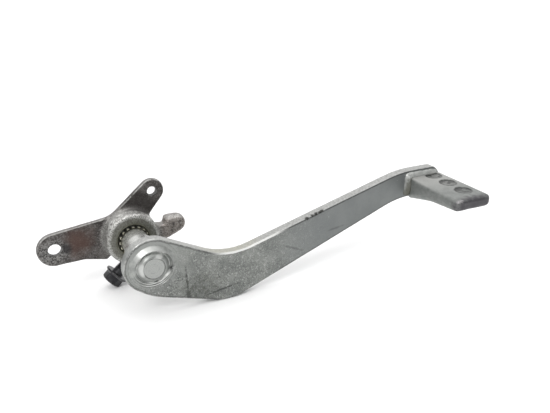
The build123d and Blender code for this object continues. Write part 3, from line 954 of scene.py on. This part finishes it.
def painted_steel():
    """Worn silver-grey plating: speckled and grimy at the boss, smoother along the bar."""
    m = Finish("silver_plating", 0.5)
    broad = m.noise(16, 4, 0.6)
    middle = m.noise(3.5, 3, 0.6, seed=20)
    fine = m.noise(0.75, 3, 0.7)
    m.colour = m.mix(PLATE_DARK, PLATE_LIGHT, m.step(broad, 0.38, 0.62))
    m.paint(BOSS_PALE, m.patch(*BOSS_PATCH), 0.85)
    # towards the pad the plating is smoother and a little bluer
    m.paint(BAR_BLUE, m.step(m.x, 70, 115), 0.75)
    # speckle, thickest low on the boss and the bend
    low = m.math("MAXIMUM", m.step(m.z, 4.0, -18.0), m.step(m.x, 8.0, 30.0, 0.15, 0.75))
    speckled = m.times(m.step(m.x, 150, 50), m.step(middle, 0.3, 0.55), low)
    m.paint(SPECK_DARK, m.step(fine, 0.46, 0.38), speckled, 0.7)
    m.paint(SPECK_SILVER, m.step(fine, 0.54, 0.64), speckled, 0.65)
    m.paint(SPOT_SILVER, m.spots(9.0, 0.5), 0.6)
    # a dark run under the boss, grime on the bend, painted shade in the crease along its belly,
    # scratches
    m.paint(STAIN_BLACK, m.math("MAXIMUM", m.patch(*STAIN_RUN), m.patch(*STAIN_FOOT)), 0.8)
    m.paint(GRIME_GREEN, m.patch(*BEND_GRIME), m.step(middle, 0.35, 0.6), 0.65)
    m.paint(CREASE_SHADE, m.patch(*BELLY_CREASE), 0.75)
    for x, z, length, turn in SCRATCHES:
        scratch = m.patch((x, FRONT_Y, z), (length, 2.0, 0.7), turn, 0.8, 2.2, 0.7)
        m.paint(SCRATCH_GREY, scratch, 0.5)
    # upward faces are paler as painted light from above, with a thin yellow film in the bend
    top = m.facing_up()
    m.paint(m.mix(LIT_TOP_GREY, LIT_TOP_WHITE, m.step(m.noise(1.4, 3, 0.7), 0.35, 0.65)), top, 0.85)
    m.paint(FILM_YELLOW, m.patch(*BEND_FILM), top, 0.35)
    # painted shade in a dark line just under the top front edge, but worn bare steel with a painted
    # highlight in a bright line along the bend
    front = m.step(m.y, -9.2, -9.9)
    off_bend = m.math("MAXIMUM", m.step(m.x, 78, 92), m.step(m.x, 46, 38))
    edge = m.times(m.bend(0.004, 0.014), front, m.step(middle, 0.3, 0.45), off_bend)
    m.paint(EDGE_SHADE_LINE, edge, m.step(top, 0.3, 0.05), 0.7)
    bare_and_highlit = m.times(m.bend(0.004, 0.016), front, m.step(m.x, 36, 50), m.step(m.x, 96, 80))
    m.paint(EDGE_WEAR_HIGHLIGHT, bare_and_highlit, m.step(m.z, -13.0, -10.0), 0.9)
    for x, z, size in CHIP_PATCHES:
        chip = m.patch((x, EDGE_Y, z), (size, 1.7, 1.2), 15.0, 0.7, 1.2, 0.35)
        m.paint(CHIP_BLACK, chip, 0.95)
    # the shaft's end, with faint turned rings
    rings = m.lathe_rings(1.3, 2.0)
    stub = m.times(m.step(m.radius(), 6.8, 6.5), m.step(m.y, -12.0, -13.0))
    m.paint(m.mix(STUB_GREY, STUB_SILVER, m.step(rings, 0.4, 0.62)), stub, 0.75)
    # rubbed bright edges round the boss
    worn = m.times(m.bend(0.014, 0.04), m.step(middle, 0.38, 0.6), m.step(m.x, 70, 10))
    m.paint(RUBBED_SILVER, worn, 0.55)
    m.grain(fine, 0.7, middle, 0.4, 0.13)
    return m.finish(m.math("SUBTRACT", m.step(fine, 0.3, 0.75, 0.36, 0.52), m.times(worn, 0.08)))


# plating of the pad
PAD_GREY = (0.19, 0.2, 0.192)
PAD_LIGHT = (0.235, 0.245, 0.235)
PAD_SPECK_PALE = (0.38, 0.39, 0.37)
PAD_SPECK_DARK = (0.08, 0.082, 0.078)
PAD_LIT_TOP_PALE = (0.38, 0.38, 0.365)
RIM_DIRT_AND_SHADE = (0.03, 0.032, 0.03)
DIRT_BLACK = (0.04, 0.042, 0.04)
TIP_DARK = (0.045, 0.041, 0.048)
TIP_RUBBED_HIGHLIGHT = (0.36, 0.35, 0.35)
PAD_EDGE_PALE = (0.45, 0.46, 0.44)
TIP_PATCH = ((207.0, -61.0, 21.0), (19.0, 6.0, 8.0), 0.0, 0.6, 3.0, 0.5)
CORNER_PATCH = ((194.2, -59.6, 25.2), (2.6, 1.3, 1.3), 0.0, 0.8, 1.2, 0.6)


def pad_steel():
    """The pad's plating: paler on top as painted light, dirt with painted shade round its dimples, dirt
    in them, a dark rubbed tip whose corner carries a painted highlight.
    """
    m = Finish("pad_plating", 0.5)
    fine = m.noise(0.8, 3, 0.65)
    middle = m.noise(4.0, 3, 0.6)
    m.colour = m.mix(PAD_GREY, PAD_LIGHT, m.step(middle, 0.35, 0.65))
    m.paint(PAD_SPECK_PALE, m.step(fine, 0.56, 0.7), 0.3)
    m.paint(PAD_SPECK_DARK, m.step(fine, 0.42, 0.32), 0.4)
    top = m.facing_up()
    # upward faces towards the root are paler as painted light from above
    m.paint(PAD_LIT_TOP_PALE, top, m.step(m.y, -50.0, -14.0), 0.85)
    dirt = m.step(m.noise(3.2, 2, 0.5, seed=4), 0.5, 0.56)
    for index in range(DIMPLES):
        x, y, z = DIMPLE_X, DIMPLE_FIRST_Y - index * DIMPLE_SPACING, DIMPLE_Z
        disc = m.patch((x, y, z), (6.3, 6.3, 5.0), 0.0, 0.15, 1.6, 0.1)
        inner = m.patch((x + 0.2, y - 0.9, z), (4.9, 4.6, 5.0), 0.0, 0.45, 1.4, 0.25)
        # each dimple's rim is dark with dirt and with painted shade, heaviest on its +Y side
        m.paint(RIM_DIRT_AND_SHADE, m.math("SUBTRACT", disc, m.times(inner, 0.6)), top, 0.95)
        m.paint(DIRT_BLACK, inner, dirt, top, 0.75)
    m.paint(TIP_DARK, m.patch(*TIP_PATCH), 0.9)
    # a rubbed corner at the tip, brightened further as a painted highlight
    m.paint(TIP_RUBBED_HIGHLIGHT, m.patch(*CORNER_PATCH), 0.75)
    worn = m.times(m.bend(0.01, 0.03), m.step(middle, 0.35, 0.55), m.step(m.y, -58.0, -40.0))
    m.paint(PAD_EDGE_PALE, worn, 0.6)
    m.grain(fine, 0.7, middle, 0.4, 0.13)
    return m.finish(m.step(fine, 0.3, 0.75, 0.38, 0.55))


# bare forging of the crank
FORGED_BLACK = (0.045, 0.04, 0.038)
FORGED_GREY = (0.12, 0.112, 0.106)
FORGED_SPECK = (0.3, 0.29, 0.28)
FORGED_PIT = (0.02, 0.018, 0.017)
HUB_GREY = (0.18, 0.18, 0.168)
HUB_PALE = (0.55, 0.55, 0.525)
LUG_BROWN = (0.2, 0.17, 0.155)
LUG_PALE = (0.44, 0.41, 0.38)
DUST_AND_TOP_LIGHT = (0.34, 0.33, 0.32)
RUST_BROWN = (0.075, 0.036, 0.026)
WASHER_BLACK = (0.02, 0.02, 0.02)
WASHER_PALE = (0.33, 0.33, 0.32)
STAIN_INK = (0.016, 0.015, 0.016)
ROOT_SHADE = (0.03, 0.026, 0.024)
HUB_GREASE_AND_SHADE = (0.11, 0.11, 0.088)
MOUTH_GREASE = (0.1, 0.1, 0.07)
WORN_PALE = (0.62, 0.62, 0.6)
RIM_HIGHLIGHT_WHITE = (0.85, 0.85, 0.82)
WALL_SHADE_BLACK = (0.02, 0.019, 0.018)
WALL_SHADE_GREY = (0.26, 0.255, 0.25)
ARM_RUST = ((-33.5, 44.0, 1.0), (8.5, 6.0, 8.5), 10.0, 0.6, 5.0, 0.8)
WASHER_RING = ((-50.0, 43.5, -3.5), (9.5, 4.0, 8.5), 0.0, 0.3, 3.0, 0.35)
HOLE_STAIN = ((-42.0, 43.5, -2.6), (3.4, 4.0, 4.2), 0.0, 0.6, 2.5, 0.6)
ARM_ROOT_SHADE = ((8.0, 43.5, 21.0), (14.0, 5.0, 8.0), -45.0, 0.4, 5.0, 0.5)


def forged_steel():
    """Dark bare forging: rust on the rod arm, a paler rubbed hub, grease round the bore, painted shade
    on the hub's face, at the upper arm's root and in the holes, painted highlights on the hub's rim.
    """
    m = Finish("dark_forging", 0.6)
    broad = m.noise(9, 4, 0.6)
    fine = m.noise(0.9, 4, 0.7)
    middle = m.noise(2.6, 3, 0.65, seed=13)
    radius = m.radius()
    m.colour = m.mix(FORGED_BLACK, FORGED_GREY, m.step(broad, 0.35, 0.65))
    m.paint(FORGED_SPECK, m.step(fine, 0.5, 0.66), 0.5)
    m.paint(FORGED_PIT, m.step(fine, 0.44, 0.34), 0.6)
    # the hub and the lug are paler than the arms; upward faces are paler too, with dust and painted
    # light from above
    hub = m.times(m.step(radius, 21.5, 17.5), m.step(m.y, 45.0, 41.0))
    pale = m.mix(HUB_GREY, HUB_PALE, m.step(fine, 0.4, 0.6))
    m.paint(pale, hub, m.step(middle, 0.25, 0.45), 0.85)
    lug = m.times(m.step(m.x, 17.0, 23.0), m.step(m.z, 14.0, 11.0))
    brown = m.mix(LUG_BROWN, LUG_PALE, m.step(fine, 0.38, 0.62))
    m.paint(brown, lug, m.step(middle, 0.3, 0.55), 0.85)
    m.paint(DUST_AND_TOP_LIGHT, m.times(m.facing_up(), m.step(middle, 0.3, 0.5)), 0.6)
    # rust, the washer's pale worn ring round the rod hole, a dark stain by that hole, and painted shade
    # at the upper arm's root
    m.paint(RUST_BROWN, m.patch(*ARM_RUST), 0.75)
    pitted = m.mix(WASHER_BLACK, WASHER_PALE, m.step(fine, 0.42, 0.56))
    m.paint(pitted, m.patch(*WASHER_RING), 0.5)
    m.paint(STAIN_INK, m.patch(*HOLE_STAIN), 0.8)
    m.paint(ROOT_SHADE, m.patch(*ARM_ROOT_SHADE), 0.7)
    # greenish grease on the hub's face, darkened further by painted shade, and greenish grease in the
    # bore's mouth
    grease = m.times(m.step(radius, 16.4, 14.4), m.step(m.y, 38.0, 35.0))
    m.paint(HUB_GREASE_AND_SHADE, grease, m.step(middle, 0.2, 0.45), 0.75)
    m.paint(MOUTH_GREASE, m.step(radius, 12.4, 11.6), m.step(m.y, 39.0, 34.0), 0.8)
    # worn edges, and painted highlight specks on the upper part of the hub's rim
    m.paint(WORN_PALE, m.bend(0.008, 0.03), m.step(middle, 0.3, 0.5), 0.75)
    rim = m.times(m.step(radius, 15.5, 16.8), m.step(m.y, 41.0, 38.0), m.step(m.z, 6.0, 13.0))
    m.paint(RIM_HIGHLIGHT_WHITE, rim, m.step(middle, 0.4, 0.6), m.step(fine, 0.42, 0.55), 0.7)
    # painted shade on the walls of the holes
    wall_shade = m.mix(WALL_SHADE_BLACK, WALL_SHADE_GREY, m.step(fine, 0.45, 0.6))
    for x, z, hole_r in CRANK_HOLES:
        size = (hole_r + 0.5, 20.0, hole_r + 0.5)
        m.paint(wall_shade, m.patch((x, CRANK_ARMS_Y, z), size, 0.0, 0.05, 2.0, 0.05))
    m.grain(fine, 0.8, middle, 0.65, 0.22)
    return m.finish(m.step(fine, 0.3, 0.75, 0.4, 0.6))


# turned steel of the shaft
TURNED_GREY = (0.56, 0.565, 0.54)
TURNED_WHITE = (0.78, 0.78, 0.76)
SHAFT_GREASE = (0.14, 0.14, 0.11)
BAND_GREY = (0.2, 0.2, 0.18)
SHOULDER_CREAM_HIGHLIGHT = (0.95, 0.91, 0.74)
GAP_SHADE_BLACK = (0.03, 0.03, 0.022)
VALLEY_BROWN = (0.13, 0.125, 0.1)
TAIL_GREY = (0.2, 0.2, 0.185)
PLATED_DARK = (0.2, 0.21, 0.202)
PLATED_GREY = (0.34, 0.352, 0.34)
PLATED_SPECK = (0.45, 0.47, 0.45)
PLATED_RIM = (0.05, 0.052, 0.05)


def ground_steel():
    """Bright turned shaft: lathe rings, a dull plated stub, grease beside the crank."""
    m = Finish("turned_steel", 0.85)
    rings = m.noise(0.4, 2, 0.5, stretch=(60.0, 1.0, 60.0))
    smear = m.noise(3.0, 3, 0.6, stretch=(1.0, 0.4, 1.0))
    m.colour = m.mix(TURNED_GREY, TURNED_WHITE, rings)
    grease = m.times(m.step(m.y, 26.0, 30.5), m.step(m.y, 56.0, 40.0))
    m.paint(SHAFT_GREASE, grease, m.step(smear, 0.35, 0.6), 0.7)
    m.paint(BAND_GREY, m.step(m.y, 18.6, 19.4), m.step(m.y, 21.5, 20.0), 0.5)
    # the serrations: cream ends brightened as a painted highlight, painted shade in the gaps between
    # them there, darker brown valleys further in
    m.paint(SHOULDER_CREAM_HIGHLIGHT, m.step(m.y, 30.0, 30.6), m.step(m.y, 31.6, 31.0), 0.9)
    low = m.step(m.radius(), 9.66, 9.42)
    m.paint(GAP_SHADE_BLACK, m.step(m.y, 29.6, 30.2), m.step(m.y, 34.5, 32.5), low, 0.9)
    m.paint(VALLEY_BROWN, m.step(m.y, 32.5, 34.5), low, 0.7)
    m.paint(TAIL_GREY, m.step(m.y, 52.0, 54.0), m.step(smear, 0.3, 0.55, 0.6, 0.95))
    # the stub outside the arm is plated over fine turned rings
    stub = m.step(m.y, -8.0, -9.5)
    face_rings = m.lathe_rings(1.6, 1.0)
    fine = m.noise(0.7, 3, 0.7)
    plated = m.mix(PLATED_DARK, PLATED_GREY, m.step(face_rings, 0.35, 0.65))
    plated = m.mix(plated, PLATED_SPECK, m.times(m.step(fine, 0.55, 0.7), 0.5))
    rim = m.times(m.step(m.radius(), 6.0, 6.35), m.step(m.noise(2.0), 0.35, 0.6))
    m.paint(m.mix(plated, PLATED_RIM, m.times(rim, 0.8)), stub)
    m.raised(m.mix(rings, face_rings, stub), 0.3, 0.04)
    return m.finish(m.step(m.math("ADD", smear, m.times(stub, 0.3)), 0.3, 0.9, 0.24, 0.46))


# plated weld metal
BEAD_GREY = (0.27, 0.28, 0.268)
BEAD_LIGHT = (0.36, 0.37, 0.355)
BEAD_SPECK = (0.13, 0.135, 0.13)
BEAD_HOLLOW_SHADE = (0.07, 0.073, 0.07)
CREST_HIGHLIGHT = (0.62, 0.63, 0.61)
RING_HIGHLIGHT_PALE = (0.66, 0.67, 0.65)
RIDGE_HIGHLIGHT_WHITE = (0.8, 0.81, 0.79)
CRATER_SHADE = (0.03, 0.031, 0.03)
COLLAR_HIGHLIGHT_WHITE = (0.74, 0.75, 0.73)
SIDE_GREY = (0.2, 0.206, 0.196)
SIDE_SHADED = (0.08, 0.08, 0.062)
SIDE_FOOT = (0.09, 0.09, 0.07)
RING_TOP_HIGHLIGHT = ((-4.0, -11.0, 11.0), (10.5, 6.0, 8.0), -25.0, 0.25, 4.0, 0.4)
RING_RIDGE = ((7.2, -12.0, -7.8), (4.6, 3.0, 0.85), 42.0, 0.3, 2.0, 0.4)
RING_CRATER = ((11.8, -11.0, -3.4), (1.3, 3.0, 1.3), 0.0, 0.3, 1.0, 0.4)
RING_LOW = ((1.0, -10.5, -13.2), (9.0, 4.0, 3.2), 0.0, 0.3, 3.0, 0.4)
COLLAR_SHINES = [
    ((-7.7, -13.0, 0.3), (2.0, 3.0, 4.6), 0.0, 0.25, 3.0, 0.4),
    ((3.7, -13.0, 7.2), (4.6, 3.0, 1.7), 26.0, 0.25, 3.0, 0.4),
]


def weld_metal():
    """Bead metal under the same plating, smooth, with painted highlights on its crests and painted
    shade in its hollows.
    """
    m = Finish("weld_bead", 0.75)
    fine = m.noise(0.8, 3, 0.65)
    middle = m.noise(3.0, 3, 0.6)
    m.colour = m.mix(BEAD_GREY, BEAD_LIGHT, m.step(middle, 0.35, 0.65))
    m.paint(BEAD_SPECK, m.step(fine, 0.4, 0.28), 0.4)
    # painted shade in the bead's hollows and painted highlight on its crests
    m.paint(BEAD_HOLLOW_SHADE, m.bend(-0.003, -0.02), 0.7)
    m.paint(CREST_HIGHLIGHT, m.bend(0.004, 0.02), 0.35)
    # painted highlights on the ring's broad crest and on the ridge at its end, painted shade in the
    # crater beside that, and painted highlights round the collar
    around_ring = m.times(m.step(m.radius(), 10.3, 11.1), m.step(m.radius(), 14.2, 13.2))
    m.paint(RING_HIGHLIGHT_PALE, around_ring, m.patch(*RING_TOP_HIGHLIGHT), 0.5)
    m.paint(RIDGE_HIGHLIGHT_WHITE, m.patch(*RING_RIDGE), 0.75)
    m.paint(CRATER_SHADE, m.patch(*RING_CRATER), 0.85)
    for shine in COLLAR_SHINES:
        m.paint(COLLAR_HIGHLIGHT_WHITE, m.patch(*shine), 0.55)
    # the bead down the pad's root is greyer, with painted shade on its outer side, and darker towards
    # its foot
    side = m.times(m.step(m.x, 180.0, 182.0), m.step(m.z, 28.0, 25.0))
    m.paint(SIDE_GREY, side, 0.6)
    shaded = m.times(m.step(m.y, -10.6, -11.8), m.step(middle, 0.3, 0.5))
    m.paint(SIDE_SHADED, side, shaded, 0.75)
    m.paint(SIDE_FOOT, side, m.step(m.z, 22.5, 15.5), 0.7)
    # painted highlights on the ripples low on the ring
    m.paint(RIDGE_HIGHLIGHT_WHITE, m.bend(0.001, 0.008), m.patch(*RING_LOW), 0.8)
    m.grain(fine, 0.4, middle, 0.15, 0.06)
    return m.finish(m.step(fine, 0.3, 0.75, 0.42, 0.54))


# black oxide of the bolt
OXIDE_BLACK = (0.012, 0.012, 0.014)
OXIDE_GREY = (0.034, 0.034, 0.037)
OXIDE_SPECK = (0.1, 0.1, 0.1)
OXIDE_RUBBED = (0.2, 0.2, 0.2)


def black_bolt():
    """Black oxide, oily, rubbed grey at its corners and on the thread's crests."""
    m = Finish("oiled_black", 0.5)
    fine = m.noise(0.9, 3, 0.65)
    middle = m.noise(4.0, 3, 0.6)
    m.colour = m.mix(OXIDE_BLACK, OXIDE_GREY, m.step(middle, 0.35, 0.65))
    m.paint(OXIDE_SPECK, m.step(fine, 0.58, 0.72), 0.4)
    m.paint(OXIDE_RUBBED, m.bend(0.03, 0.1), m.step(middle, 0.35, 0.6), 0.6)
    m.grain(fine, 0.5, middle, 0.3, 0.1)
    return m.finish(m.step(fine, 0.3, 0.75, 0.3, 0.5))


plating = painted_steel()
pad_plating = pad_steel()
forging = forged_steel()
turned = ground_steel()
bead_metal = weld_metal()
oiled_black = black_bolt()

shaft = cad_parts["pivot_shaft"]


# ---- each piece: its body, its slot and its material ----

PIECES = [
    (arm, "pedal", "painted_steel", plating),
    (pad, "pedal", "painted_steel", pad_plating),
    (crank, "crank", "forged_steel", forging),
    (bolt, "bolt", "black_bolt", oiled_black),
    (stub_face, "pedal", "painted_steel", plating),
]
for weld in welds:
    PIECES.append((weld, "pedal", "weld_metal", bead_metal))

for piece, body, slot, material in PIECES:
    piece.data.materials.clear()
    piece.data.materials.append(material)
    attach(piece, body)
shaft.data.materials.clear()
shaft.data.materials.append(turned)
